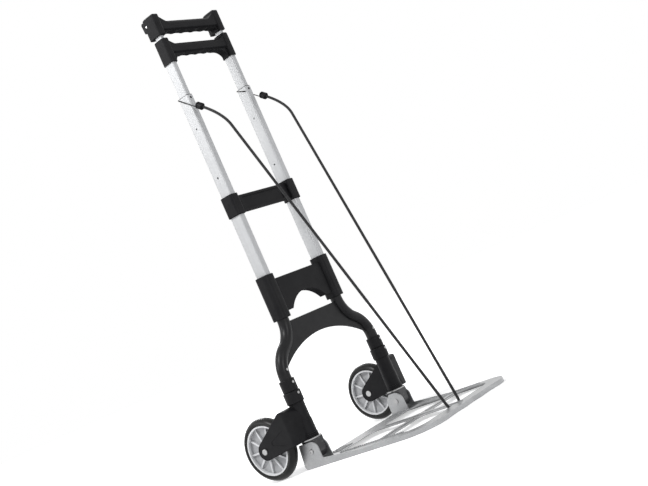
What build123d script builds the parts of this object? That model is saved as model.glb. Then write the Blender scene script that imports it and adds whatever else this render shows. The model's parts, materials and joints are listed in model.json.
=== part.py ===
from build123d import *
import math
import os

os.makedirs("parts", exist_ok=True)

# Main positions, in millimetres; left is the -X side and the toe plate points along -Y.
# Y is measured from the legs here, and ORIGIN_Y then centres the whole over the origin
ORIGIN_Y = 66.0
TUBE_X = 91.0
LEG_X = 152.0
PIVOT_Z = 32.0

# Telescoping tubes: width along X, depth along Y, corner radius, wall
OUTER = (16.5, 27.5, 2.5)
OUTER_WALL = 1.2
MIDDLE = (12.7, 23.0, 2.2)
MIDDLE_WALL = 1.2
INNER = (8.8, 18.0, 1.8)
INNER_WALL = 1.0
SLIDE_GAP = 0.1
BUSH_LENGTH = 26.0
SLIDER_FOOT, SLIDER_PLUG = 11.0, 25.0
NUB_R = 2.4

# Lengths of the tubes, and how far each one reaches out of the tube that it slides in
OUTER_LENGTH, MIDDLE_LENGTH, INNER_LENGTH = 448.0, 313.0, 252.0
MIDDLE_REACH, TOP_REACH = 120.0, 54.0
OUTER_LOW = 336.0
OUTER_HIGH = OUTER_LOW + OUTER_LENGTH
MIDDLE_HIGH = OUTER_HIGH + MIDDLE_REACH
MIDDLE_LOW = MIDDLE_HIGH - MIDDLE_LENGTH
INNER_HIGH = MIDDLE_HIGH + TOP_REACH
INNER_LOW = INNER_HIGH - INNER_LENGTH

# Lock holes: the outer tubes' holes for the middle stage, the middle tubes' for the top stage
LOCK_RISE, TOP_LOCK_RISE = 13.0, 12.0
MIDDLE_LOCK_Z = MIDDLE_LOW + LOCK_RISE
TOP_LOCK_Z = INNER_LOW + TOP_LOCK_RISE
MIDDLE_TRAVEL = (-73.0, 109.0)
TOP_TRAVEL = (-6.5, 90.0)
LOCK_R = 2.1
TOP_LOCK_R = 1.6
PLUNGER_SHY = 0.25

# Leg tubes
LEG_R = 12.5
LEG_WALL = 1.5
LEG_LOW, LEG_HIGH = 56.5, 330.0
BEND_LOW, BEND_HIGH = 217.0, 255.0
BEND_R = 60.0
COLLAR_LOW = (130.0, 154.0, 18.0)
COLLAR_HIGH = (154.0, 179.0, 16.0)
RIVET_AZIMUTH = -95.0
RIVET_SINK = 3.0
HIGH_RIVET_RISE = 18.0

# Bridges between the tubes
UPPER_BRIDGE = (518.0, 563.0)
LOWER_BRIDGE = (291.0, 385.0)
BRIDGE_WALL = 3.5
BRIDGE_BACK = OUTER[1] / 2 + BRIDGE_WALL
BRACE_THICK = 4.0
BRACE_ARCH = 23.0

# Handles: section of the sockets, their length and how far they cover the tubes' upper ends
SOCKET = (18.0, 32.0, 6.5)
LOW_COVER, LOW_LENGTH = 8.0, 53.0
TOP_COVER, TOP_LENGTH = 9.0, 47.0
LOW_HANDLE = (MIDDLE_HIGH + LOW_COVER - LOW_LENGTH, MIDDLE_HIGH + LOW_COVER)
TOP_HANDLE = (INNER_HIGH + TOP_COVER - TOP_LENGTH, INNER_HIGH + TOP_COVER)
CHEEK = 6.5

# Grips: a rounded bar with finger hollows under it, which flares up into the sockets, and a rib
# that arches down to them
LOW_GRIP_HIGH, TOP_GRIP_HIGH = LOW_HANDLE[1] - 11.0, TOP_HANDLE[1] - 15.0
GRIP_DEPTH, GRIP_HEIGHT, GRIP_ROUND = 26.0, 24.0, 9.0
RIB_DEPTH = 17.0
LOW_ARCH_R, TOP_ARCH_R = 27.0, 8.0
FINGER_DEPTH = 2.0
FLARE_RUN, FLARE_DROP, FLARE_EDGE = 36.0, 2.0, 3.0

# Release lever in the rear of each upper socket
LEVER_Y = 13.5
LEVER_Z = INNER_HIGH - 8.0
LEVER_PIN_R = 2.0

# Hinge of the toe plate
EAR_IN = 13.5
EAR_THICK = 2.0
PIVOT_R = 3.5
KNUCKLE_R = 17.0
KNUCKLE_HALF = 13.2
WASHER_LOW = 54.5
SPIGOT_R = 10.97
SPIGOT_HIGH = 98.0

# Bevel pair that turns the forks as the plate folds
TEETH = 12
GEAR_R = 10.0
GEAR_INNER = 0.6
ADDENDUM, DEDENDUM = 1.3, 1.65
TOOTH_HALF = 0.95
TOOTH_SLOPE = math.tan(math.radians(20))
SHAFT_R = 5.0
SHAFT_HIGH = 120.0
DRIVE_Z = 112.0
DRIVE_R = 2.5
FOLD_DEG = 90.0

# Wheels and forks, measured from the leg's axis: U inwards, V to the rear
RIM_R = 51.6
RIM_WALL = 3.2
TYRE_THICK = 13.4
TYRE_CROWN = 8.0
WHEEL_R = RIM_R + TYRE_THICK
WHEEL_WIDTH = 25.0
HUB_R = 13.0
SPOKES, SPOKE_THICK = 10, 3.8
AXLE_U, AXLE_V, AXLE_Z = -30.0, WHEEL_R + 20.0, WHEEL_R
AXLE_R = 4.0
FORK_LOW, FORK_HIGH = 56.8, 129.7
RECESS_DEPTH = 0.6
BARREL_GAP = 0.1
ARM_OUT = (-47.0, -43.5)
ARM_IN = (-16.5, -13.0)
POCKET_R = WHEEL_R + 3.5

# Toe plate
PLATE_HALF = LEG_X + EAR_IN + EAR_THICK
PLATE_REAR, PLATE_FRONT = 14.0, -282.0
PLATE_TOP, SHEET = 9.0, 2.0
PLATE_CORNER = 60.0
SIDE_STRIP, FRONT_STRIP = 24.0, 38.0
REAR_EDGE = -36.0
ARM_HALF = 15.0
CROSS_Y = -150.0
WAVE_R, WAVE_DEPTH, WAVE_PITCH = 150.0, 3.0, 62.0
BEAD_WIDTH, BEAD_HIGH = 9.0, 1.5
REAR_BEAD, REAR_BEAD_STEP = 36.0, 12.0
TOOTH_PITCH = 5.5

# Elastic cord and its hooks: the wires hook round the outer tubes at their mouths
CORD_R = 2.9
CORD_Y = -238.0
CORD_TURN = 5.3
CORD_LEAD = 60.0
CAP_FORWARD, CAP_FALL, CAP_LIFT = 35.9, 35.1, 4.4
CAP_LENGTH, CAP_R = 16.0, 7.2
WIRE_R = 1.0
WIRE_GAP = 0.4
HOOK_Z = OUTER_HIGH + 0.2
HOOK_TIP = 6.0


def save(name, shape):
    export_step(Pos(0, ORIGIN_Y, 0) * shape, f"parts/{name}.step")


def flipped(shape):
    return mirror(shape, about=Plane.YZ)


def save_pair(name, left):
    save(name + "_left", left)
    save(name + "_right", flipped(left))


def both(left):
    return Part() + left + flipped(left)


def block(x, y, z):
    # A box from its three ranges
    size = [abs(r[1] - r[0]) for r in (x, y, z)]
    middle = [(r[0] + r[1]) / 2 for r in (x, y, z)]
    return Pos(*middle) * Box(*size)


def post(section, z, shrink=0.0):
    # An upright bar of rounded rectangular section
    width, depth, radius = section
    face = RectangleRounded(width - 2 * shrink, depth - 2 * shrink, radius - shrink)
    return Pos(0, 0, z[0]) * extrude(face, z[1] - z[0])


def eased(upright, radius):
    # Rounds the edges round both ends of an upright piece
    ends = upright.edges().group_by(Axis.Z)
    return fillet(ends[0] + ends[-1], radius)


def ring(inner, outer, z):
    return Pos(0, 0, z[0]) * extrude(Circle(outer) - Circle(inner), z[1] - z[0])


def rod_x(radius, x, y, z):
    return Pos((x[0] + x[1]) / 2, y, z) * Rot(0, 90, 0) * Cylinder(radius, abs(x[1] - x[0]))


def rod_y(radius, x, y, z):
    return Pos(x, (y[0] + y[1]) / 2, z) * Rot(90, 0, 0) * Cylinder(radius, abs(y[1] - y[0]))


def rod_z(radius, x, y, z):
    return Pos(x, y, (z[0] + z[1]) / 2) * Cylinder(radius, abs(z[1] - z[0]))


def side_plate(points, radii, x):
    # A plate across X from a rounded outline of (y, z) points
    edge = FilletPolyline(*[(x[0], y, z) for y, z in points], radius=radii, close=True)
    return extrude(make_face(edge), x[1] - x[0], dir=(1, 0, 0))


def at_leg(shape):
    return Pos(-LEG_X, 0, 0) * shape


def at_tube(shape):
    return Pos(-TUBE_X, 0, 0) * shape


# Leg tubes, with a slot for the drive pin
leg_path = FilletPolyline(
    (-LEG_X, 0, LEG_LOW),
    (-LEG_X, 0, BEND_LOW),
    (-TUBE_X, 0, BEND_HIGH),
    (-TUBE_X, 0, LEG_HIGH),
    radius=BEND_R,
)
leg_plane = Plane((-LEG_X, 0, LEG_LOW))
leg_full = sweep(leg_plane * Circle(LEG_R), path=leg_path)
leg_void = sweep(leg_plane * Circle(LEG_R - LEG_WALL), path=leg_path)
slot_spread = math.degrees(math.asin(DRIVE_R / (LEG_R - LEG_WALL))) + 4
slot_angles = [90 + slot_spread - k * (FOLD_DEG + 2 * slot_spread) / 4 for k in range(5)]
slot_rim = [(40 * math.cos(math.radians(a)), 40 * math.sin(math.radians(a))) for a in slot_angles]
slot_face = make_face(Polyline((0, 0), *slot_rim, close=True))
slot_high = DRIVE_R + 0.3
drive_slot = at_leg(Pos(0, 0, DRIVE_Z - slot_high) * extrude(slot_face, 2 * slot_high))

# Rivets on the front of the collars and of the leg
rivet_turn = Rot(0, 0, RIVET_AZIMUTH)


def rivet(start, seat, z, shift=0.0):
    shank = rod_x(1.5, (start, seat), 0, z)
    head = rod_x(2.6, (seat, seat + 1.3), 0, z)
    return at_leg(Pos(shift, 0, 0) * rivet_turn * (shank + head))


high_rivet = rivet(LEG_R - RIVET_SINK, LEG_R, COLLAR_HIGH[1] + HIGH_RIVET_RISE, 2.2)
collar_rivets = Part() + rivet(COLLAR_HIGH[2] - RIVET_SINK, COLLAR_HIGH[2], COLLAR_HIGH[1] - 8.0)
collar_rivets += rivet(COLLAR_LOW[2] - RIVET_SINK, COLLAR_LOW[2], COLLAR_LOW[1] - 6.0)
leg_rivets = collar_rivets + high_rivet

# Short pins that hold the hinge block's spigot in the leg
foot_pin_z = 76.0
foot_pins = at_leg(
    rod_y(2.0, 0, (SHAFT_R + 1.5, LEG_R - 0.2), foot_pin_z)
    + rod_y(2.0, 0, (-LEG_R + 0.2, -SHAFT_R - 1.5), foot_pin_z)
)

# Screws through the bridges from the rear
bridge_screws = Part()
for screw_z, back, tip in (
    (LOWER_BRIDGE[0] + 27.0, BRIDGE_BACK, LEG_R - LEG_WALL + 0.1),
    (LOWER_BRIDGE[1] - 23.0, BRIDGE_BACK, OUTER[1] / 2 - OUTER_WALL + 0.1),
    (UPPER_BRIDGE[0] + 22.0, BRIDGE_BACK, OUTER[1] / 2 - OUTER_WALL + 0.1),
):
    bridge_screws += at_tube(rod_y(2.0, 0, (tip, back), screw_z) + rod_y(4.0, 0, (back, back + 2.2), screw_z))

leg_tube = leg_full - leg_void - drive_slot - high_rivet - foot_pins - bridge_screws
save_pair("leg_tube", leg_tube)
save("leg_rivets", both(leg_rivets))
save("foot_pins", both(foot_pins))
save("bridge_screws", both(bridge_screws))

# Collars on the legs
for name, (low, high, radius) in (("lower_collars", COLLAR_LOW), ("upper_collars", COLLAR_HIGH)):
    collar = ring(LEG_R, radius, (low, high))
    outer_edges = collar.edges().filter_by(GeomType.CIRCLE).filter_by(lambda e, r=radius: e.radius > r - 0.1)
    collar = fillet(outer_edges, 2.0)
    save(name, both(at_leg(collar) - collar_rivets))

# Brace between the bends of the legs
brace_side = [leg_path @ (0.44 + 0.05 * k) for k in range(9)]
brace_left = [(p.X, 0, p.Z) for p in brace_side]
brace_right = [(-x, 0, z) for x, y, z in brace_left]
brace_arch = ThreePointArc(brace_left[0], (0, 0, BEND_LOW + BRACE_ARCH), brace_right[0])
brace_top = Line(brace_left[-1], brace_right[-1])
brace_face = make_face([brace_arch, Polyline(*brace_left), brace_top, Polyline(*brace_right)])
brace = extrude(brace_face, BRACE_THICK / 2, dir=(0, 1, 0), both=True)
brace -= leg_full
brace -= flipped(leg_full)
save("leg_brace", brace)

# Outer tubes with their lock holes and the nub's hole in the front
outer_tube = post(OUTER, (OUTER_LOW, OUTER_HIGH)) - post(OUTER, (OUTER_LOW, OUTER_HIGH), OUTER_WALL)
for travel in (0.0, *MIDDLE_TRAVEL):
    outer_tube -= rod_x(LOCK_R, (-10, 10), 0, MIDDLE_LOCK_Z + travel)
nub = rod_y(NUB_R, 0, (-OUTER[1] / 2 - 0.3, -OUTER[1] / 2 + OUTER_WALL), OUTER_HIGH - 6)
outer_tube -= nub
save_pair("outer_tube", at_tube(outer_tube) - bridge_screws)

# Guide bush in each outer tube's mouth
bush_z = (OUTER_HIGH - BUSH_LENGTH, OUTER_HIGH)
outer_bush = post(OUTER, bush_z, OUTER_WALL) + post(OUTER, (OUTER_HIGH, OUTER_HIGH + 1.2), 0.5)
outer_bush += nub
outer_bush -= post(MIDDLE, (bush_z[0] - 5, OUTER_HIGH + 5), -SLIDE_GAP)
save("outer_bushes", both(at_tube(outer_bush)))

# Upper bridge
socket = (OUTER[0] + 2 * BRIDGE_WALL, OUTER[1] + 2 * BRIDGE_WALL, OUTER[2] + BRIDGE_WALL)
upper_bridge = both(at_tube(eased(post(socket, UPPER_BRIDGE), 1.5)))
bar_z = (UPPER_BRIDGE[0] + 5, UPPER_BRIDGE[1] - 5)
upper_bridge += block((-TUBE_X, TUBE_X), (-8, 8), bar_z)
panel_half = TUBE_X - socket[0] / 2 - 16
upper_bridge -= block((-panel_half, panel_half), (-9, -5), (bar_z[0] + 5, bar_z[1] - 5))
upper_bridge -= both(at_tube(post(OUTER, (UPPER_BRIDGE[0] - 5, UPPER_BRIDGE[1] + 5))))
save("upper_bridge", upper_bridge - both(bridge_screws))

# Lower bridge: round sockets below for the legs, oval sockets above for the outer tubes
foot_socket = (2 * LEG_R + 2 * BRIDGE_WALL, OUTER[1] + 2 * BRIDGE_WALL, 11.0)
lower_bridge = both(at_tube(eased(post(foot_socket, LOWER_BRIDGE), 1.5)))
lower_bridge += block((-TUBE_X, TUBE_X), (-9, 9), (LOWER_BRIDGE[0] + 12, LOWER_BRIDGE[1] - 12))
arch_cut = Pos(0, 0, LOWER_BRIDGE[0] - 30) * Rot(90, 0, 0) * Cylinder(70, 40)
lower_bridge -= arch_cut
lower_bridge -= both(at_tube(rod_z(LEG_R, 0, 0, (LOWER_BRIDGE[0] - 5, LEG_HIGH))))
lower_bridge -= both(at_tube(post(OUTER, (OUTER_LOW, LOWER_BRIDGE[1] + 5))))
save("lower_bridge", lower_bridge - both(bridge_screws))

# Middle stage
middle_tube = post(MIDDLE, (MIDDLE_LOW, MIDDLE_HIGH)) - post(MIDDLE, (MIDDLE_LOW, MIDDLE_HIGH), MIDDLE_WALL)
middle_tube -= rod_x(LOCK_R, (-10, 10), 0, MIDDLE_LOCK_Z)
for travel in (0.0, *TOP_TRAVEL):
    middle_tube -= rod_x(TOP_LOCK_R + 0.1, (0, 10), 0, TOP_LOCK_Z + travel)
socket_rear = SOCKET[1] / 2
low_screw_z = MIDDLE_HIGH - 20
low_screw = rod_y(1.6, 0, (MIDDLE[1] / 2 - MIDDLE_WALL + 0.1, socket_rear), low_screw_z)
low_screw += rod_y(3.4, 0, (socket_rear, socket_rear + 1.8), low_screw_z)
middle_tube -= low_screw

middle_slider = post(OUTER, (MIDDLE_LOW - SLIDER_FOOT, MIDDLE_LOW), OUTER_WALL + SLIDE_GAP)
middle_slider += post(MIDDLE, (MIDDLE_LOW, MIDDLE_LOW + SLIDER_PLUG), MIDDLE_WALL)
middle_slider -= rod_x(LOCK_R, (-8, 3), 0, MIDDLE_LOCK_Z)

middle_bush = post(MIDDLE, (MIDDLE_HIGH - BUSH_LENGTH, MIDDLE_HIGH), MIDDLE_WALL)
middle_bush -= post(INNER, (MIDDLE_HIGH - BUSH_LENGTH - 5, MIDDLE_HIGH + 5), -SLIDE_GAP)

plunger_tip = -OUTER[0] / 2 + OUTER_WALL + PLUNGER_SHY
middle_plunger = rod_x(LOCK_R - 0.05, (plunger_tip, 0.5), 0, MIDDLE_LOCK_Z)
middle_plunger = fillet(middle_plunger.edges().group_by(Axis.X)[0], 0.5)

# Top stage
inner_tube = post(INNER, (INNER_LOW, INNER_HIGH)) - post(INNER, (INNER_LOW, INNER_HIGH), INNER_WALL)
inner_tube -= rod_x(TOP_LOCK_R, (-10, 10), 0, TOP_LOCK_Z)
lever_window = block((-2.6, 2.6), (6, 12), (LEVER_Z - 4, INNER_HIGH + 1))
inner_tube -= lever_window
top_screw_z = TOP_HANDLE[0] + 7
top_screw = rod_y(1.4, 0, (INNER[1] / 2 - INNER_WALL + 0.1, socket_rear), top_screw_z)
top_screw += rod_y(3.0, 0, (socket_rear, socket_rear + 1.6), top_screw_z)
inner_tube -= top_screw

inner_slider = post(MIDDLE, (INNER_LOW - SLIDER_FOOT, INNER_LOW), MIDDLE_WALL + SLIDE_GAP)
inner_slider += post(INNER, (INNER_LOW, INNER_LOW + SLIDER_PLUG), INNER_WALL)
inner_slider -= rod_x(TOP_LOCK_R, (-3, 6), 0, TOP_LOCK_Z)
rod_at = 1.0
inner_slider -= rod_z(1.4, 0, rod_at, (TOP_LOCK_Z, INNER_LOW + SLIDER_PLUG + 5))

top_tip = MIDDLE[0] / 2 - MIDDLE_WALL - PLUNGER_SHY
top_plunger = rod_x(TOP_LOCK_R - 0.05, (-0.5, top_tip), 0, TOP_LOCK_Z)
top_plunger = fillet(top_plunger.edges().group_by(Axis.X)[-1], 0.5)

# Release rod with the head that the lever's finger lifts
release_rod = rod_z(1.3, 0, rod_at, (TOP_LOCK_Z + TOP_LOCK_R + 0.4, LEVER_Z + 5))
release_rod += rod_z(3.0, 0, rod_at, (LEVER_Z + 2.1, LEVER_Z + 5))

# Release lever: a finger under the rod's head and a pad behind the socket
lever_half = 5.7
pad_edge = [(-0.5, -3.0), (8.5, -11.0), (13.5, -10.0), (15.0, 10.5), (11.0, 14.0), (-0.5, 4.0)]
lever_pad = side_plate(
    [(LEVER_Y + y, LEVER_Z + z) for y, z in pad_edge],
    [0.5, 1.5, 3.0, 4.0, 2.5, 0.5],
    (-lever_half, lever_half),
)
lever_finger = block((-2.0, 2.0), (rod_at + 1.7, LEVER_Y), (LEVER_Z - 1.7, LEVER_Z + 1.7))
lever = lever_pad + rod_x(4.0, (-lever_half, lever_half), LEVER_Y, LEVER_Z) + lever_finger
lever -= rod_x(LEVER_PIN_R + 0.06, (-9, 9), LEVER_Y, LEVER_Z)
lever_pin = rod_x(LEVER_PIN_R, (-SOCKET[0] / 2 - 0.4, SOCKET[0] / 2), LEVER_Y, LEVER_Z)
lever_slot = block((-lever_half - 0.4, lever_half + 0.4), (8.0, 40), (LEVER_Z - 16, LEVER_Z + 30))


# Handles
def fingers(count, width, bottom):
    # A smooth row of finger hollows, cut upwards from the bar's underside
    half = count * width / 2
    wave = [(k * width / 2 - half, FINGER_DEPTH * (k % 2)) for k in range(2 * count + 1)]
    crest = Spline(*wave, tangents=[(1, 0), (1, 0)])
    under = Polyline(wave[-1], (half, -FINGER_DEPTH), (-half, -FINGER_DEPTH), wave[0])
    return Pos(0, 0, bottom) * Rot(90, 0, 0) * extrude(make_face([crest, under]), GRIP_DEPTH, both=True)


def flare(grip_high, handle_high):
    # The web that widens the bar's front and back faces up into the left socket
    near, far = SOCKET[0] / 2 - TUBE_X - 4.0, SOCKET[0] / 2 - TUBE_X + FLARE_RUN
    flat_high = grip_high - GRIP_ROUND
    flat_low = flat_high - (GRIP_HEIGHT - 2 * GRIP_ROUND) * 0.8
    peak, tail = (near, handle_high - FLARE_DROP), (far, flat_high)
    middle = (near + 0.35 * (far - near), tail[1] + 0.5 * (peak[1] - tail[1]))
    foot = Polyline(tail, (far, flat_low), (near, flat_low), peak)
    face = make_face([ThreePointArc(peak, middle, tail), foot])
    web = Rot(90, 0, 0) * extrude(face, GRIP_DEPTH / 2, both=True)
    return fillet(web.edges().filter_by(GeomType.CIRCLE), FLARE_EDGE)


def grip(socket_low, grip_high, handle_high, arch_r, count, width):
    # The rounded bar less its finger hollows, its flares, and the rib under its ends
    grip_low = grip_high - GRIP_HEIGHT
    section = RectangleRounded(GRIP_DEPTH, GRIP_HEIGHT, GRIP_ROUND)
    bar = extrude(Plane.YZ * Pos(0, grip_high - GRIP_HEIGHT / 2) * section, TUBE_X, both=True)
    rib_half = RIB_DEPTH / 2
    rib = block((-TUBE_X, TUBE_X), (-rib_half, rib_half), (socket_low, grip_low + GRIP_HEIGHT / 2))
    rib = fillet(rib.edges().filter_by(Axis.X).group_by(Axis.Z)[0], 2.5)
    arch_half = TUBE_X - SOCKET[0] / 2 - 0.5
    arch_face = Pos(0, -50) * RectangleRounded(2 * arch_half, 100, arch_r)
    arch = Pos(0, 0, grip_low) * Rot(90, 0, 0) * extrude(arch_face, GRIP_DEPTH, both=True)
    return bar + both(flare(grip_high, handle_high)) + (rib - arch) - fingers(count, width, grip_low)


# Lower handle
lower_handle = grip(LOW_HANDLE[0], LOW_GRIP_HIGH, LOW_HANDLE[1], LOW_ARCH_R, 4, 26.0)
low_collar = post(SOCKET, LOW_HANDLE)
low_collar = fillet(low_collar.edges().group_by(Axis.Z)[-1], 3.0)
lower_handle += both(at_tube(low_collar))
lower_handle -= both(at_tube(post(MIDDLE, (LOW_HANDLE[0] - 5, MIDDLE_HIGH))))
lower_handle -= both(at_tube(post(INNER, (MIDDLE_HIGH - 1, LOW_HANDLE[1] + 5), -0.5)))
lower_handle -= both(at_tube(low_screw))
save("lower_handle", lower_handle)

# Top handle: its sockets reach further back, as cheeks on both sides of the lever
top_handle = grip(TOP_HANDLE[0], TOP_GRIP_HIGH, TOP_HANDLE[1], TOP_ARCH_R, 5, 29.0)
cheek_rear = socket_rear + CHEEK
top_collar = Pos(0, CHEEK / 2, 0) * post((SOCKET[0], SOCKET[1] + CHEEK, SOCKET[2]), TOP_HANDLE)
top_collar = fillet(top_collar.edges().group_by(Axis.Z)[-1], 4.0)
cheek_edge = [
    (-socket_rear - 1, TOP_HANDLE[0] - 1),
    (socket_rear, TOP_HANDLE[0] - 1),
    (socket_rear, LEVER_Z - 16),
    (cheek_rear + 0.5, LEVER_Z - 3),
    (cheek_rear + 0.5, TOP_HANDLE[1]),
    (-socket_rear - 1, TOP_HANDLE[1]),
]
top_collar &= side_plate(cheek_edge, [0.5, 0.5, 6.0, 6.0, 15.0, 7.0], (-SOCKET[0], SOCKET[0]))
top_handle += both(at_tube(top_collar))
top_handle -= both(at_tube(post(INNER, (TOP_HANDLE[0] - 5, INNER_HIGH))))
top_handle -= both(at_tube(lever_slot))
top_handle -= both(at_tube(lever_pin + top_screw))
save("top_handle", top_handle)

save("middle_tube_left", at_tube(middle_tube))
save("middle_tube_right", Pos(TUBE_X, 0, 0) * middle_tube)
save("middle_sliders", Part() + at_tube(middle_slider) + Pos(TUBE_X, 0, 0) * middle_slider)
save("middle_bushes", both(at_tube(middle_bush)))
save("middle_plungers", Part() + at_tube(middle_plunger) + Pos(TUBE_X, 0, 0) * middle_plunger)
save("lower_handle_screws", both(at_tube(low_screw)))
save_pair("inner_tube", at_tube(inner_tube))
save("inner_sliders", Part() + at_tube(inner_slider) + Pos(TUBE_X, 0, 0) * inner_slider)
save("top_plungers", Part() + at_tube(top_plunger) + Pos(TUBE_X, 0, 0) * top_plunger)
save_pair("release_rod", at_tube(release_rod))
save_pair("release_lever", at_tube(lever))
save("lever_pins", both(at_tube(lever_pin)))
save("top_handle_screws", both(at_tube(top_screw)))

# Hinge block: a spigot up the leg and a knuckle for the pivot, hollow for the bevel pair
gear_room = GEAR_R + ADDENDUM / math.sqrt(2) + 1.0
knuckle = rod_x(KNUCKLE_R, (-KNUCKLE_HALF, KNUCKLE_HALF), 0, PIVOT_Z)
knuckle += block((-KNUCKLE_HALF, KNUCKLE_HALF), (-KNUCKLE_R, KNUCKLE_R), (PIVOT_Z, WASHER_LOW))
knuckle += rod_z(SPIGOT_R, 0, 0, (WASHER_LOW, SPIGOT_HIGH))
knuckle -= rod_x(gear_room, (-KNUCKLE_HALF - 1, 7.2), 0, PIVOT_Z)
knuckle -= rod_z(gear_room - 0.4, 0, 0, (PIVOT_Z + 5.2, 49.6))
knuckle -= rod_z(SHAFT_R + 0.06, 0, 0, (40, SPIGOT_HIGH + 1))
knuckle -= rod_x(PIVOT_R + 0.05, (0, KNUCKLE_HALF + 1), 0, PIVOT_Z)
save_pair("hinge_block", at_leg(knuckle) - foot_pins)
save_pair("foot_washer", at_leg(ring(SPIGOT_R + 0.1, 21.0, (WASHER_LOW, LEG_LOW))))

# Bevel teeth: straight-sided, all edges drawn to the apex where the two axes cross
half = math.sqrt(0.5)
tip_point = (GEAR_R + ADDENDUM * half, GEAR_R - ADDENDUM * half)
root_point = (GEAR_R - DEDENDUM * half, GEAR_R + DEDENDUM * half)
sunk_point = (root_point[0] - 0.3, root_point[1] + 0.3)
tip_half = TOOTH_HALF - ADDENDUM * TOOTH_SLOPE
sunk_half = TOOTH_HALF + (DEDENDUM + 0.4) * TOOTH_SLOPE


def bevel_tooth(azimuth):
    faces = []
    for scale in (GEAR_INNER, 1.0):
        corners = [
            (sunk_point[0], -sunk_half, sunk_point[1]),
            (tip_point[0], -tip_half, tip_point[1]),
            (tip_point[0], tip_half, tip_point[1]),
            (sunk_point[0], sunk_half, sunk_point[1]),
        ]
        faces.append(make_face(Polyline(*[tuple(scale * c for c in p) for p in corners], close=True)))
    return Rot(0, 0, azimuth) * loft(faces, ruled=True)


def bevel_gear(bore, back, back_r, azimuths):
    inner_root = (GEAR_INNER * root_point[0], GEAR_INNER * root_point[1])
    front = [(bore, inner_root[1]), inner_root, root_point]
    profile = [*front, (back_r, root_point[1]), (back_r, back), (bore, back)]
    gear = revolve(make_face(Polyline(*[(r, 0, h) for r, h in profile], close=True)), Axis.Z)
    for azimuth in azimuths:
        gear += bevel_tooth(azimuth)
    return gear


pitch_deg = 360.0 / TEETH
pinion = bevel_gear(0.0, 17.3, 8.0, [180 + k * pitch_deg for k in range(TEETH)])
drive_shaft = Pos(0, 0, PIVOT_Z) * pinion + rod_z(SHAFT_R, 0, 0, (PIVOT_Z + 15, SHAFT_HIGH))
drive_pin = rod_y(DRIVE_R, 0, (-SHAFT_R + 0.6, 15.2), DRIVE_Z)
save_pair("drive_shaft", at_leg(drive_shaft - drive_pin))
save_pair("drive_pin", at_leg(drive_pin))
sector = bevel_gear(PIVOT_R, EAR_IN, 8.8, [pitch_deg / 2 + k * pitch_deg for k in range(-5, 2)])
save_pair("fold_gear", at_leg(Pos(0, 0, PIVOT_Z) * Rot(0, -90, 0) * sector))

# Fork: side outline crossed with plan outline, less the wheel's pocket, on a stepped barrel
boss_r = 18.5
side_edges = [
    Edge.make_circle(boss_r, Plane((AXLE_V, AXLE_Z, 0))),
    Edge.make_circle(20.0, Plane((10, FORK_HIGH - 22, 0))),
    Edge.make_line((-6, FORK_LOW + 0.5, 0), (-6, FORK_HIGH - 14, 0)),
]
fork_side = extrude(Plane.YZ * make_hull(side_edges), 60, both=True)
plan_points = [(ARM_OUT[0], -3), (8, -12), (8, 12), (ARM_IN[1], 22), (ARM_IN[1], 110), (ARM_OUT[0], 110)]
plan_edge = FilletPolyline(*plan_points, radius=[13, 2, 2, 2, 0.5, 0.5], close=True)
fork = extrude(make_face(plan_edge), 200) & fork_side
outer_edges = fork.faces().sort_by(Axis.X)[0].edges()
fork = fillet(outer_edges.filter_by(lambda e: e.center().Y > 20), 2.0)
fork -= rod_x(POCKET_R, (ARM_OUT[1], ARM_IN[0]), AXLE_V, AXLE_Z)
recess_edge = [(14, FORK_HIGH - 33), (AXLE_V - 13, AXLE_Z + 8.5), (16, FORK_LOW + 6)]
recess = side_plate(recess_edge, [5, 5, 5], (ARM_OUT[0] - 1, ARM_OUT[0] + RECESS_DEPTH))
fork -= recess
fork += rod_z(15.5, 0, 0, (90, FORK_HIGH))
fork += rod_z(16.3, 0, 0, (66, 94))
fork += rod_z(15.6, 0, 0, (FORK_LOW, 67))
for k in range(3):
    fork += rod_z(17.3, 0, 0, (FORK_LOW + 3.4 * k, FORK_LOW + 3.4 * k + 2.2))
fork -= rod_z(24.0, 0, 0, (FORK_LOW - 20, FORK_LOW))
fork -= rod_z(LEG_R + BARREL_GAP, 0, 0, (FORK_LOW - 1, FORK_HIGH + 1))
axle = rod_x(AXLE_R, (ARM_OUT[0], ARM_IN[1]), AXLE_V, AXLE_Z)
axle_heads = rod_x(6.3, (ARM_OUT[0] - 3.0, ARM_OUT[0]), AXLE_V, AXLE_Z)
axle_heads = fillet(axle_heads.edges().group_by(Axis.X)[0], 1.8)
axle_heads += rod_x(6.5, (ARM_IN[1], ARM_IN[1] + 1.5), AXLE_V, AXLE_Z)
fork -= axle
save_pair("fork", at_leg(fork - drive_pin))
save_pair("axle", at_leg(axle + axle_heads))

# Wheel: hub, web, spokes and rim in one moulding, tyre and bearing bush
wheel_half = WHEEL_WIDTH / 2
rim = ring(AXLE_R + 2.0, HUB_R, (-wheel_half, wheel_half)) + ring(HUB_R - 1, RIM_R - 2, (-2.5, 2.5))
rim += ring(RIM_R - RIM_WALL, RIM_R, (-11.0, 11.0))
spoke_edge = [(HUB_R - 0.5, 0, -9.5), (RIM_R - 2, 0, -5.5), (RIM_R - 2, 0, 5.5), (HUB_R - 0.5, 0, 9.5)]
for k in range(SPOKES):
    spoke = extrude(make_face(Polyline(*spoke_edge, close=True)), SPOKE_THICK / 2, dir=(0, 1, 0), both=True)
    rim += Rot(0, 0, (k + 0.5) * 360 / SPOKES) * spoke
bead = wheel_half - 1.5
shoulder_r = WHEEL_R - TYRE_CROWN
tyre_side = Line((RIM_R, 0, -bead), (RIM_R, 0, bead))
tyre_high = Line((RIM_R, 0, bead), (shoulder_r, 0, wheel_half))
tyre_crown = ThreePointArc((shoulder_r, 0, wheel_half), (WHEEL_R, 0, 0), (shoulder_r, 0, -wheel_half))
tyre_low = Line((shoulder_r, 0, -wheel_half), (RIM_R, 0, -bead))
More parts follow.
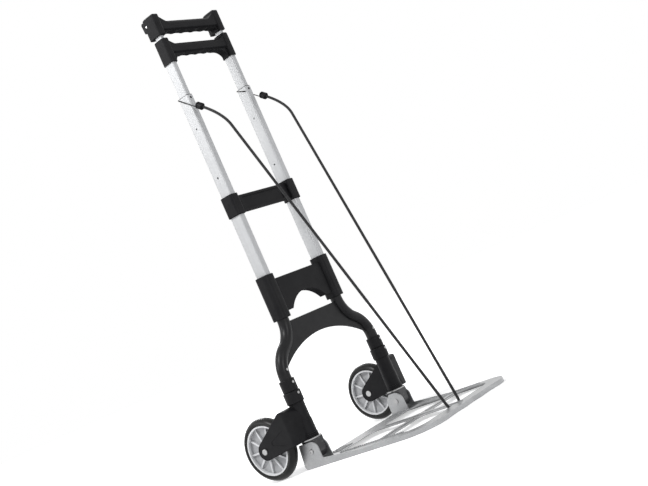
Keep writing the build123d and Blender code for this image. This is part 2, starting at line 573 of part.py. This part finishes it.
tyre = revolve(make_face([tyre_side, tyre_high, tyre_crown, tyre_low]), Axis.Z)
wheel_bush = ring(AXLE_R + 0.05, AXLE_R + 2.0, (-wheel_half, wheel_half))


def at_axle(shape):
    return at_leg(Pos(AXLE_U, AXLE_V, AXLE_Z) * Rot(0, 90, 0) * shape)


save_pair("wheel_rim", at_axle(rim))
save_pair("tyre", at_axle(tyre))
save_pair("wheel_bush", at_axle(wheel_bush))

# Toe plate: an inverted tray with four openings, a cross web and toothed side strips
corners = [(-PLATE_HALF, PLATE_REAR), (PLATE_HALF, PLATE_REAR)]
corners += [(PLATE_HALF, PLATE_FRONT), (-PLATE_HALF, PLATE_FRONT)]
outline = make_face(FilletPolyline(*corners, radius=[1, 1, PLATE_CORNER, PLATE_CORNER], close=True))
for x in (-WAVE_PITCH, 0, WAVE_PITCH):
    outline -= Pos(x, PLATE_FRONT + WAVE_DEPTH - WAVE_R) * Circle(WAVE_R)
for side in (-1, 1):
    outline += Pos(side * (PLATE_HALF - 17), PLATE_REAR + 4) * Rectangle(34, 12)
tray = extrude(outline, PLATE_TOP)
tray -= extrude(offset(outline, -SHEET, kind=Kind.INTERSECTION), PLATE_TOP - SHEET)
open_x = (ARM_HALF, PLATE_HALF - SIDE_STRIP)
for low, high, inner_r, outer_r in (
    (CROSS_Y + ARM_HALF, REAR_EDGE, 16.0, 22.0),
    (PLATE_FRONT + FRONT_STRIP, CROSS_Y - ARM_HALF, 3.0, 38.0),
):
    window = [(open_x[0], low), (open_x[1], low), (open_x[1], high), (open_x[0], high)]
    hole = make_face(FilletPolyline(*window, radius=[inner_r, outer_r, 22, 20], close=True))
    tray -= both(extrude(hole, 20))
arm_long = REAR_EDGE - PLATE_FRONT - FRONT_STRIP - BEAD_WIDTH
cross_at = (open_x[0] + open_x[1]) / 2
cross_long = open_x[1] - open_x[0] - 2 * BEAD_WIDTH
beads = Pos(0, (PLATE_FRONT + REAR_EDGE) / 2) * Rot(0, 0, 90) * SlotOverall(arm_long, BEAD_WIDTH)
for side in (-1, 1):
    beads += Pos(side * cross_at, CROSS_Y) * SlotOverall(cross_long, BEAD_WIDTH)
    for k in range(4):
        x = side * (cross_at + k * REAR_BEAD_STEP)
        beads += Pos(x, (PLATE_REAR + REAR_EDGE) / 2) * Rot(0, 0, 90) * SlotOverall(REAR_BEAD, BEAD_WIDTH / 2)
tray += Pos(0, 0, PLATE_TOP - 0.5) * extrude(beads, BEAD_HIGH + 0.5)

# Toothed lip along the inner edge of each side strip
lip_x = (-PLATE_HALF + SIDE_STRIP - 2.0, -PLATE_HALF + SIDE_STRIP)
lip_y = (PLATE_FRONT + PLATE_CORNER + 10.0, REAR_EDGE - 12.0)
lip = block(lip_x, lip_y, (PLATE_TOP - 0.5, PLATE_TOP + 3))
tooth_count = int((lip_y[1] - lip_y[0]) / TOOTH_PITCH)
for k in range(tooth_count):
    y = lip_y[0] + (k + 0.5) * TOOTH_PITCH
    lip -= block((lip_x[0] - 1, lip_x[1] + 1), (y - 1.2, y + 1.2), (PLATE_TOP + 1, PLATE_TOP + 5))
tray += both(lip)

# Ears: the outer one runs up from the side flange, the inner one is bent up from the sheet
ear_outer_x = (-PLATE_HALF, -PLATE_HALF + EAR_THICK)
ear_inner_x = (-LEG_X + EAR_IN, -LEG_X + EAR_IN + EAR_THICK)
ear_top = PIVOT_Z + 18.5
ears = side_plate(
    [(-23, 0), (-21, 26), (-21, ear_top), (26, ear_top), (33, 0)],
    [0.5, 0.5, 15, 2, 7],
    ear_outer_x,
)
flange_edge = [(-10, 0), (-10, 16), (-23, 15), (-120, 8.9), (-120, 0)]
ears += side_plate(flange_edge, [0.2, 0.2, 2, 2, 0.2], ear_outer_x)
ears += side_plate(
    [(-23, 8), (-21, 26), (-21, ear_top), (12, ear_top), (24, 39), (24, 8)],
    [0.5, 0.5, 20, 6, 6, 0.5],
    ear_inner_x,
)
toe_plate = tray + both(ears)
pivot = rod_x(PIVOT_R, (-EAR_IN - EAR_THICK, EAR_IN + EAR_THICK), 0, PIVOT_Z)
pivot_out = -EAR_IN - EAR_THICK
pivot_head = rod_x(PIVOT_R + 1.6, (pivot_out - 2.2, pivot_out), 0, PIVOT_Z)
pivot_head = fillet(pivot_head.edges().group_by(Axis.X)[0], 1.2)
pivot_dimple = rod_x(PIVOT_R - 1.0, (pivot_out - 3.0, pivot_out - 1.2), 0, PIVOT_Z)
pivot_tail = rod_x(5.5, (EAR_IN + EAR_THICK, EAR_IN + EAR_THICK + 1.5), 0, PIVOT_Z)
toe_plate -= both(at_leg(pivot))
save("toe_plate", toe_plate)
save_pair("pivot_rivet", at_leg(pivot + pivot_head + pivot_tail - pivot_dimple))

# End caps: each lies along its wire, which enters it off centre from the tube's rear corner
wire_out = TUBE_X + OUTER[0] / 2 + WIRE_R + WIRE_GAP
wire_in = TUBE_X - OUTER[0] / 2 - WIRE_R - WIRE_GAP
wire_back = OUTER[1] / 2 + WIRE_R + WIRE_GAP
hook_corner = Vector(-wire_out, wire_back, HOOK_Z)
cap_at = Vector(-wire_out, -CAP_FORWARD, OUTER_HIGH - CAP_FALL)
cap_offset = cap_at - hook_corner
cap_tilt = math.degrees(math.asin(CAP_LIFT / cap_offset.length))
cap_axis = cap_offset.rotate(Axis.X, cap_tilt).normalized()
wire_drop = cap_axis.rotate(Axis.X, 90) * CAP_LIFT
cap_plane = Plane(origin=tuple(cap_at), x_dir=(1, 0, 0), z_dir=tuple(cap_axis))
cap = Cylinder(CAP_R, CAP_LENGTH)
cap = fillet(cap.edges().filter_by(GeomType.CIRCLE).group_by(Axis.Z)[0], 1.5)
cap = chamfer(cap.edges().filter_by(GeomType.CIRCLE).group_by(Axis.Z)[-1], 2.2)
cap -= Pos(0, 0, -0.2 * CAP_LENGTH) * ring(CAP_R - 0.9, CAP_R + 1, (-0.9, 0.9))
cap -= Pos(0, 0, CAP_LENGTH / 2 - 4) * Cylinder(CORD_R, 8)
cap -= Pos(0, -CAP_LIFT, -CAP_LENGTH / 2 + 3) * Cylinder(WIRE_R, 6)
save_pair("cord_cap", cap_plane * cap)

# Elastic cord: from one cap, straight to the plate, under the web's middle arm, and back
cord_start = cap_at + cap_axis * (CAP_LENGTH / 2 - 8)
cord_bend = cap_at + cap_axis * CORD_LEAD
under_z = PLATE_TOP - SHEET - CORD_R - 0.3
left_run = [cord_start, cord_bend, Vector(-ARM_HALF - CORD_TURN, CORD_Y, under_z)]
right_run = [Vector(-p.X, p.Y, p.Z) for p in reversed(left_run)]
cord_points = [tuple(p) for p in left_run + right_run]
first_run, long_run = cord_bend - cord_start, left_run[2] - cord_bend
bend_r = 0.45 * first_run.length / math.tan(math.radians(first_run.get_angle(long_run) / 2))
cord_path = FilletPolyline(*cord_points, radius=[bend_r, CORD_TURN, CORD_TURN, bend_r])
cord_plane = Plane(origin=cord_points[0], x_dir=(1, 0, 0), z_dir=tuple(cap_axis))
elastic_cord = sweep(cord_plane * Circle(CORD_R), path=cord_path)
cord_section = math.pi * CORD_R**2
print("cord radii", round(bend_r, 1), CORD_TURN, "length", round(cord_path.length, 1))
print("cord volume ratio", round(elastic_cord.volume / cord_section / cord_path.length, 4))
save("elastic_cord", elastic_cord)

# Wire hook: along the tube's outer face, round its back, and down its inner face to a dipped tip
wire_start = cap_at + wire_drop - cap_axis * (CAP_LENGTH / 2 - 6)
hook_end = Vector(-wire_in, -8.0, HOOK_Z - 10.0)
hook_points = [tuple(wire_start), tuple(hook_corner), (-wire_in, wire_back, HOOK_Z), tuple(hook_end)]
hook_path = FilletPolyline(*hook_points, radius=3.6)
hook_plane = Plane(origin=hook_points[0], x_dir=(1, 0, 0), z_dir=tuple(cap_axis * -1))
hook = sweep(hook_plane * Circle(WIRE_R), path=hook_path)
tip_axis = (hook_end - Vector(*hook_points[2])).normalized()
tip_plane = Plane(origin=tuple(hook_end), x_dir=(1, 0, 0), z_dir=tuple(tip_axis))
tip = fillet(Cylinder(WIRE_R + WIRE_GAP - 0.05, HOOK_TIP).edges(), 0.6)
hook += tip_plane * Pos(0, 0, 1.0 - HOOK_TIP / 2) * tip
save_pair("cord_hook", hook)
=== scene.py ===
import json
import math
import bpy
from mathutils import Matrix, Vector


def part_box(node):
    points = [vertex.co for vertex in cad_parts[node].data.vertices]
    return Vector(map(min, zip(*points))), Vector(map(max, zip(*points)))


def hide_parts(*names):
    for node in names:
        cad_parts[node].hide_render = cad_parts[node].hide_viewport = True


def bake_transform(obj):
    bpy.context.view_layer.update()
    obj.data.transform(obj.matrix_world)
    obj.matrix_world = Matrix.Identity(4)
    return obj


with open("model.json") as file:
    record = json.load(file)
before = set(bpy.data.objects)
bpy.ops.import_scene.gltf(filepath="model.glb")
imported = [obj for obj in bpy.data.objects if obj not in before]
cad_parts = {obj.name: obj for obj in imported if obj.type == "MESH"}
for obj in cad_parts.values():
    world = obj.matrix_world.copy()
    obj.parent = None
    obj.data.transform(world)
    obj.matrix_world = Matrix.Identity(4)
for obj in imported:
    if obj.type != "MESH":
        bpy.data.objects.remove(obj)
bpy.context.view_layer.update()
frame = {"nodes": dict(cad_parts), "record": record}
nodes = frame["nodes"]
slots = {entry["node"]: entry["material_slot"] for entry in frame["record"]["subparts"]}

# Camera, in metres and degrees, at the photograph's viewpoint
CAMERA_AT = (-1.708, -1.409, 0.264)
CAMERA_TURN = 38.75
CAMERA_RISE = 3.5
CAMERA_ROLL = -23.83
CAMERA_LENS = 60.3
SENSOR = 36.0

# Elastic cord, in metres: half of the route, from the left cap to the middle of the toe plate
CORD_DIAMETER = 0.0058
CORD_HALF = [
    (-0.1007, 0.0301, 0.7489),
    (-0.1007, -0.0167, 0.7114),
    (-0.0940, -0.0295, 0.6531),
    (-0.0241, -0.1646, 0.0376),
    (-0.0203, -0.1720, 0.0038),
    (-0.0110, -0.1720, 0.0038),
]
CORD_SIDES = 12
CORD_STEPS = 60
BRAID_STRANDS = 8.0
BRAID_PER_METRE = 420.0

# Floor, in metres: just under the part, dimmer near it and white from FLOOR_FAR on
FLOOR_Z = -0.0005
FLOOR_REACH = 40.0
FLOOR_NEAR, FLOOR_FAR = 0.5, 1.6
FLOOR_GLOW = (0.46, 1.0)

# Lamps: place, target, size in metres and power in watts
LAMPS = {
    "key": ((-1.9, 0.3, 2.5), (0.0, 0.0, 0.5), 0.7, 42.0),
    "side": ((-1.95, 1.75, 1.65), (0.0, 0.0, 0.7), 0.9, 14.0),
    "fill": ((-0.6, -2.6, 1.2), (0.0, 0.0, 0.4), 1.0, 17.0),
    "rim": ((1.6, 2.2, 2.0), (0.0, 0.0, 0.5), 0.8, 22.0),
}
WORLD_LIGHT = 0.3

# Upward part of the normal where a moulding's matt underside ends, from fully matt to not at all
UNDERSIDE = (-0.6, -0.1)

# Wheels: their middle plane, and how far from it the floor and the edges between the spokes are, which
# bound the painted shade on the floor and the painted light on the edges
rim_low, rim_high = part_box("wheel_rim_right")
WHEEL_X = (rim_low[0] + rim_high[0]) / 2
WHEEL_FLOOR = 0.12 * (rim_high[0] - rim_low[0])
WHEEL_EDGE = 0.32 * (rim_high[0] - rim_low[0])


def new_material(name):
    material = bpy.data.materials.new(name)
    material.use_nodes = True
    tree = material.node_tree
    return material, tree, tree.nodes["Principled BSDF"]


def coordinates(tree, source="Object", scale=(1.0, 1.0, 1.0)):
    # Texture coordinates stretched by a scale along X, Y and Z
    place = tree.nodes.new("ShaderNodeTexCoord")
    mapping = tree.nodes.new("ShaderNodeMapping")
    mapping.inputs["Scale"].default_value = scale
    tree.links.new(place.outputs[source], mapping.inputs["Vector"])
    return mapping.outputs["Vector"]


def noise(tree, vector, scale, detail=4.0, rough=0.55):
    node = tree.nodes.new("ShaderNodeTexNoise")
    node.inputs["Scale"].default_value = scale
    node.inputs["Detail"].default_value = detail
    node.inputs["Roughness"].default_value = rough
    tree.links.new(vector, node.inputs["Vector"])
    return node.outputs["Fac"]


def ramp(tree, value, low, high, start=0.3, end=0.7):
    # Colours from low to high, as a value goes from start to end
    node = tree.nodes.new("ShaderNodeValToRGB")
    node.color_ramp.elements[0].position = start
    node.color_ramp.elements[0].color = (*low, 1.0)
    node.color_ramp.elements[1].position = end
    node.color_ramp.elements[1].color = (*high, 1.0)
    tree.links.new(value, node.inputs["Fac"])
    return node.outputs["Color"]


def spread(tree, value, low, high, start=0.0, end=1.0):
    # Numbers from low to high, as a value goes from start to end
    node = tree.nodes.new("ShaderNodeMapRange")
    node.inputs["From Min"].default_value = start
    node.inputs["From Max"].default_value = end
    node.inputs["To Min"].default_value = low
    node.inputs["To Max"].default_value = high
    tree.links.new(value, node.inputs["Value"])
    return node.outputs["Result"]


def calc(tree, operation, *values):
    # One step of arithmetic on numbers and other nodes' outputs
    node = tree.nodes.new("ShaderNodeMath")
    node.operation = operation
    for socket, value in zip(node.inputs, values):
        if isinstance(value, float):
            socket.default_value = value
        else:
            tree.links.new(value, socket)
    return node.outputs[0]


def split_axes(tree, vector):
    node = tree.nodes.new("ShaderNodeSeparateXYZ")
    tree.links.new(vector, node.inputs["Vector"])
    return node.outputs


def bump(tree, shader, height, strength, distance):
    node = tree.nodes.new("ShaderNodeBump")
    node.inputs["Strength"].default_value = strength
    node.inputs["Distance"].default_value = distance
    tree.links.new(height, node.inputs["Height"])
    tree.links.new(node.outputs["Normal"], shader.inputs["Normal"])


def moulded_plastic(name, dark, light, rough, grain, depth, gloss):
    # Moulded plastic: a fine eroded grain, slow drift of colour and faint rubbed patches
    material, tree, shader = new_material(name)
    vector = coordinates(tree)
    drift = noise(tree, vector, 35.0, 6.0, 0.65)
    tree.links.new(ramp(tree, drift, dark, light), shader.inputs["Base Color"])
    rubbed = noise(tree, vector, 70.0, 5.0, 0.7)
    # Undersides keep the mould's matt texture, and the rest is rubbed smoother
    facing = tree.nodes.new("ShaderNodeNewGeometry").outputs["Normal"]
    matt = spread(tree, split_axes(tree, facing)["Z"], 1.0, 0.0, *UNDERSIDE)
    smooth = spread(tree, rubbed, rough - 0.1, rough + 0.12)
    tree.links.new(calc(tree, "MAXIMUM", smooth, matt), shader.inputs["Roughness"])
    shader.inputs["Specular IOR Level"].default_value = gloss
    bump(tree, shader, noise(tree, vector, grain, 2.0), 0.35, depth)
    return material


def painted_steel(name, dark, light, rough):
    # Sprayed paint with a slight orange peel
    material, tree, shader = new_material(name)
    vector = coordinates(tree)
    tree.links.new(ramp(tree, noise(tree, vector, 60.0), dark, light), shader.inputs["Base Color"])
    peel = noise(tree, vector, 420.0, 2.0)
    worn = noise(tree, vector, 90.0, 5.0)
    tree.links.new(spread(tree, worn, rough - 0.08, rough + 0.1), shader.inputs["Roughness"])
    shader.inputs["Specular IOR Level"].default_value = 0.2
    bump(tree, shader, peel, 0.15, 0.0002)
    return material


def drawn_metal(name, dark, light, rough, stretch, depth, metal):
    # Bare metal with drawing or brushing lines along its length, under a slow cloud of tone
    material, tree, shader = new_material(name)
    lines = noise(tree, coordinates(tree, scale=stretch), 1.0, 3.0, 0.5)
    cloud = noise(tree, coordinates(tree), 25.0, 5.0)
    mixed = calc(tree, "MULTIPLY_ADD", lines, 0.5, calc(tree, "MULTIPLY", cloud, 0.5))
    tree.links.new(ramp(tree, mixed, dark, light), shader.inputs["Base Color"])
    tree.links.new(spread(tree, lines, rough - 0.06, rough + 0.08), shader.inputs["Roughness"])
    shader.inputs["Metallic"].default_value = metal
    bump(tree, shader, lines, 0.1, depth)
    return material


def wheel_plastic_with_painted_shade(name, floor, painted_lit_edge, rough):
    # Pale moulded wheel: the floor between the spokes is darker as painted shade, and the edges that stand
    # out of it are lighter as painted light
    material, tree, shader = new_material(name)
    vector = coordinates(tree)
    # Painted shade by depth: darker near the wheel's middle plane, lighter towards the spoke edges and rim
    outward = calc(tree, "ABSOLUTE", split_axes(tree, vector)["X"])
    away = calc(tree, "ABSOLUTE", calc(tree, "SUBTRACT", outward, WHEEL_X))
    painted_light_mask = spread(tree, away, 0.0, 1.0, WHEEL_FLOOR, WHEEL_EDGE)
    dust = noise(tree, vector, 60.0, 6.0, 0.65)
    # Real dust on top of the painted shade and painted light
    dust_and_painted_shade = calc(tree, "MULTIPLY_ADD", dust, 0.25, painted_light_mask)
    tree.links.new(ramp(tree, dust_and_painted_shade, floor, painted_lit_edge, 0.1, 1.0), shader.inputs["Base Color"])
    tree.links.new(spread(tree, dust, rough - 0.08, rough + 0.1), shader.inputs["Roughness"])
    bump(tree, shader, noise(tree, vector, 1500.0, 2.0), 0.3, 0.0001)
    return material


def tyre_rubber(name):
    # Smooth black rubber with a little dust
    material, tree, shader = new_material(name)
    vector = coordinates(tree)
    dust = noise(tree, vector, 90.0, 6.0, 0.65)
    black = ramp(tree, dust, (0.006, 0.006, 0.006), (0.016, 0.016, 0.015))
    tree.links.new(black, shader.inputs["Base Color"])
    tree.links.new(spread(tree, dust, 0.22, 0.4), shader.inputs["Roughness"])
    shader.inputs["Specular IOR Level"].default_value = 0.2
    bump(tree, shader, noise(tree, vector, 900.0, 3.0), 0.4, 0.0003)
    return material


def braided_cord(name):
    # Braid: two crossing sets of strands, along the tube's own U and V
    material, tree, shader = new_material(name)
    axes = split_axes(tree, coordinates(tree, "UV"))
    strands = []
    for lean in (1.0, -1.0):
        around = calc(tree, "MULTIPLY", axes["X"], BRAID_STRANDS * lean)
        along = calc(tree, "MULTIPLY_ADD", axes["Y"], BRAID_PER_METRE, around)
        strands.append(calc(tree, "SINE", calc(tree, "MULTIPLY", along, 2 * math.pi)))
    braid = calc(tree, "MAXIMUM", *strands)
    black = ramp(tree, braid, (0.006, 0.006, 0.007), (0.016, 0.016, 0.017), 0.0, 1.0)
    tree.links.new(black, shader.inputs["Base Color"])
    shader.inputs["Roughness"].default_value = 0.6
    shader.inputs["Specular IOR Level"].default_value = 0.3
    shader.inputs["Sheen Weight"].default_value = 0.05
    bump(tree, shader, braid, 0.5, 0.0004)
    return material


MATERIALS = {
    "black_plastic": moulded_plastic(
        "black_plastic", dark=(0.006, 0.006, 0.007), light=(0.013, 0.013, 0.014),
        rough=0.4, grain=1500.0, depth=0.0002, gloss=0.12,
    ),
    "grip_plastic": moulded_plastic(
        "grip_plastic", dark=(0.006, 0.006, 0.007), light=(0.014, 0.014, 0.015),
        rough=0.45, grain=1100.0, depth=0.0003, gloss=0.12,
    ),
    # The floor colour is painted shade between the spokes, and the edge colour is painted light on the
    # spokes and rim
    "grey_plastic": wheel_plastic_with_painted_shade(
        "grey_plastic", floor=(0.43, 0.435, 0.445), painted_lit_edge=(0.75, 0.755, 0.765), rough=0.36
    ),
    # Paler than the black plastic: painted light on the hinge blocks, which sit in shade between the ears
    "glossy_plastic": moulded_plastic(
        "glossy_plastic", dark=(0.022, 0.022, 0.024), light=(0.045, 0.045, 0.048),
        rough=0.24, grain=1500.0, depth=0.0001, gloss=0.5,
    ),
    "black_steel": painted_steel(
        "black_steel", dark=(0.006, 0.006, 0.007), light=(0.012, 0.012, 0.013), rough=0.34
    ),
    "black_wire": painted_steel(
        "black_wire", dark=(0.006, 0.006, 0.006), light=(0.014, 0.014, 0.014), rough=0.32
    ),
    "aluminium_tube": drawn_metal(
        "aluminium_tube", dark=(0.5, 0.507, 0.515), light=(0.57, 0.577, 0.585),
        rough=0.42, stretch=(260.0, 260.0, 2.0), depth=0.00002, metal=0.3,
    ),
    "steel": drawn_metal(
        "steel", dark=(0.3, 0.3, 0.3), light=(0.46, 0.46, 0.46),
        rough=0.3, stretch=(500.0, 500.0, 500.0), depth=0.00005, metal=1.0,
    ),
    "plate_metal": drawn_metal(
        "plate_metal", dark=(0.31, 0.315, 0.32), light=(0.45, 0.455, 0.46),
        rough=0.34, stretch=(14.0, 420.0, 420.0), depth=0.00005, metal=0.7,
    ),
    "tyre_rubber": tyre_rubber("tyre_rubber"),
    "cord_fabric": braided_cord("cord_fabric"),
}

# The hinge blocks are smoother than the other black mouldings, and paler as painted light on their shaded
# faces
finishes = dict(slots, hinge_block_left="glossy_plastic", hinge_block_right="glossy_plastic")
for name, node in nodes.items():
    node.data.materials.clear()
    node.data.materials.append(MATERIALS[finishes[name]])


def spline_points(route):
    # The smooth line that a NURBS curve draws through a route's control points
    curve = bpy.data.curves.new("route", "CURVE")
    curve.dimensions = "3D"
    curve.resolution_u = CORD_STEPS
    spline = curve.splines.new("NURBS")
    spline.points.add(len(route) - 1)
    for point, place in zip(spline.points, route):
        point.co = (*place, 1.0)
    spline.order_u = 3
    spline.use_endpoint_u = True
    carrier = bpy.data.objects.new("route", curve)
    bpy.context.scene.collection.objects.link(carrier)
    bpy.context.view_layer.update()
    line = bpy.data.meshes.new_from_object(carrier)
    points = [vertex.co.copy() for vertex in line.vertices]
    bpy.data.objects.remove(carrier)
    bpy.data.meshes.remove(line)
    bpy.data.curves.remove(curve)
    return points


def tube(name, points, radius, sides, material):
    # A closed round tube along a line, with U round it and V along it in metres
    rings, along = [], [0.0]
    across = Vector((1.0, 0.0, 0.0))
    for index, point in enumerate(points):
        before, after = points[max(index - 1, 0)], points[min(index + 1, len(points) - 1)]
        heading = (after - before).normalized()
        across = (across - heading * across.dot(heading)).normalized()
        other = heading.cross(across)
        if index:
            along.append(along[-1] + (point - points[index - 1]).length)
        ring = []
        for side in range(sides):
            angle = 2 * math.pi * side / sides
            ring.append(point + (across * math.cos(angle) + other * math.sin(angle)) * radius)
        rings.append(ring)
    vertices = [vertex for ring in rings for vertex in ring]
    faces, uvs = [], []
    for index in range(len(rings) - 1):
        for side in range(sides):
            here, there = index * sides, (index + 1) * sides
            following = (side + 1) % sides
            faces.append((here + side, here + following, there + following, there + side))
            left, right = side / sides, (side + 1) / sides
            low, high = along[index], along[index + 1]
            uvs += [(left, low), (right, low), (right, high), (left, high)]
    for first, flip in ((0, True), ((len(rings) - 1) * sides, False)):
        loop = [first + side for side in range(sides)]
        faces.append(tuple(reversed(loop)) if flip else tuple(loop))
        uvs += [(0.0, 0.0)] * sides
    mesh = bpy.data.meshes.new(name)
    mesh.from_pydata(vertices, [], faces)
    layer = mesh.uv_layers.new(name="braid")
    for loop, uv in zip(layer.data, uvs):
        loop.uv = uv
    for polygon in mesh.polygons:
        polygon.use_smooth = len(polygon.vertices) == 4
    mesh.materials.append(material)
    piece = bpy.data.objects.new(name, mesh)
    bpy.context.scene.collection.objects.link(piece)
    return piece


# Elastic cord, from cap to cap by way of the toe plate
cord_route = CORD_HALF + [(-x, y, z) for x, y, z in reversed(CORD_HALF)]
cord_line = spline_points(cord_route)
cord = tube("cord_elastic", cord_line, CORD_DIAMETER / 2, CORD_SIDES, MATERIALS["cord_fabric"])
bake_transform(cord)
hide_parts("elastic_cord")


def add_camera():
    data = bpy.data.cameras.new("camera")
    data.lens = CAMERA_LENS
    data.sensor_width = SENSOR
    data.sensor_fit = "HORIZONTAL"
    camera = bpy.data.objects.new("camera", data)
    look = Matrix.Rotation(math.radians(-90.0 + CAMERA_TURN), 4, "Z")
    look @= Matrix.Rotation(math.radians(90.0 + CAMERA_RISE), 4, "X")
    look @= Matrix.Rotation(math.radians(CAMERA_ROLL), 4, "Z")
    camera.matrix_world = Matrix.Translation(CAMERA_AT) @ look
    bpy.context.scene.collection.objects.link(camera)
    bpy.context.scene.camera = camera


def add_lamp(name, place, target, size, power):
    data = bpy.data.lights.new(name, "AREA")
    data.shape = "DISK"
    data.size = size
    data.energy = power
    lamp = bpy.data.objects.new(name, data)
    lamp.location = place
    lamp.rotation_euler = (Vector(target) - Vector(place)).to_track_quat("-Z", "Y").to_euler()
    bpy.context.scene.collection.objects.link(lamp)


def seen_rays(tree):
    # One where the camera, a reflection or a refraction looks, for the white surround
    path = tree.nodes.new("ShaderNodeLightPath")
    total = path.outputs["Is Camera Ray"]
    for output in ("Is Glossy Ray", "Is Transmission Ray"):
        total = calc(tree, "MAXIMUM", total, path.outputs[output])
    return total


def add_world():
    # White to the eye, and a faint even light on the part
    world = bpy.data.worlds.new("studio")
    world.use_nodes = True
    tree = world.node_tree
    plain = tree.nodes["Background"]
    plain.inputs["Color"].default_value = (0.95, 0.96, 1.0, 1.0)
    plain.inputs["Strength"].default_value = WORLD_LIGHT
    white = tree.nodes.new("ShaderNodeBackground")
    white.inputs["Color"].default_value = (1.0, 1.0, 1.0, 1.0)
    mix = tree.nodes.new("ShaderNodeMixShader")
    tree.links.new(seen_rays(tree), mix.inputs["Fac"])
    tree.links.new(plain.outputs[0], mix.inputs[1])
    tree.links.new(white.outputs[0], mix.inputs[2])
    tree.links.new(mix.outputs[0], tree.nodes["World Output"].inputs["Surface"])
    bpy.context.scene.world = world


def add_floor():
    # White to the eye far off, while the part's shadow shows near it
    material, tree, shader = new_material("floor")
    shader.inputs["Base Color"].default_value = (0.9, 0.9, 0.9, 1.0)
    shader.inputs["Roughness"].default_value = 0.9
    place = tree.nodes.new("ShaderNodeTexCoord")
    far = tree.nodes.new("ShaderNodeVectorMath")
    far.operation = "LENGTH"
    tree.links.new(place.outputs["Object"], far.inputs[0])
    rise = spread(tree, far.outputs["Value"], *FLOOR_GLOW, FLOOR_NEAR, FLOOR_FAR)
    rise.node.interpolation_type = "SMOOTHSTEP"
    glow = tree.nodes.new("ShaderNodeEmission")
    tree.links.new(rise, glow.inputs["Strength"])
    shown = tree.nodes.new("ShaderNodeMixShader")
    empty = tree.nodes.new("ShaderNodeBsdfTransparent")
    empty.inputs["Color"].default_value = (0.0, 0.0, 0.0, 1.0)
    tree.links.new(seen_rays(tree), shown.inputs["Fac"])
    tree.links.new(empty.outputs[0], shown.inputs[1])
    tree.links.new(glow.outputs[0], shown.inputs[2])
    total = tree.nodes.new("ShaderNodeAddShader")
    tree.links.new(shader.outputs[0], total.inputs[0])
    tree.links.new(shown.outputs[0], total.inputs[1])
    tree.links.new(total.outputs[0], tree.nodes["Material Output"].inputs["Surface"])
    mesh = bpy.data.meshes.new("floor")
    corners = [(x * FLOOR_REACH, y * FLOOR_REACH, FLOOR_Z) for x, y in ((-1, -1), (1, -1), (1, 1), (-1, 1))]
    mesh.from_pydata(corners, [], [(0, 1, 2, 3)])
    mesh.materials.append(material)
    floor = bpy.data.objects.new("floor", mesh)
    bpy.context.scene.collection.objects.link(floor)


add_camera()
add_world()
add_floor()
for lamp_name, settings in LAMPS.items():
    add_lamp(lamp_name, *settings)
bpy.context.scene.view_settings.view_transform = "Standard"
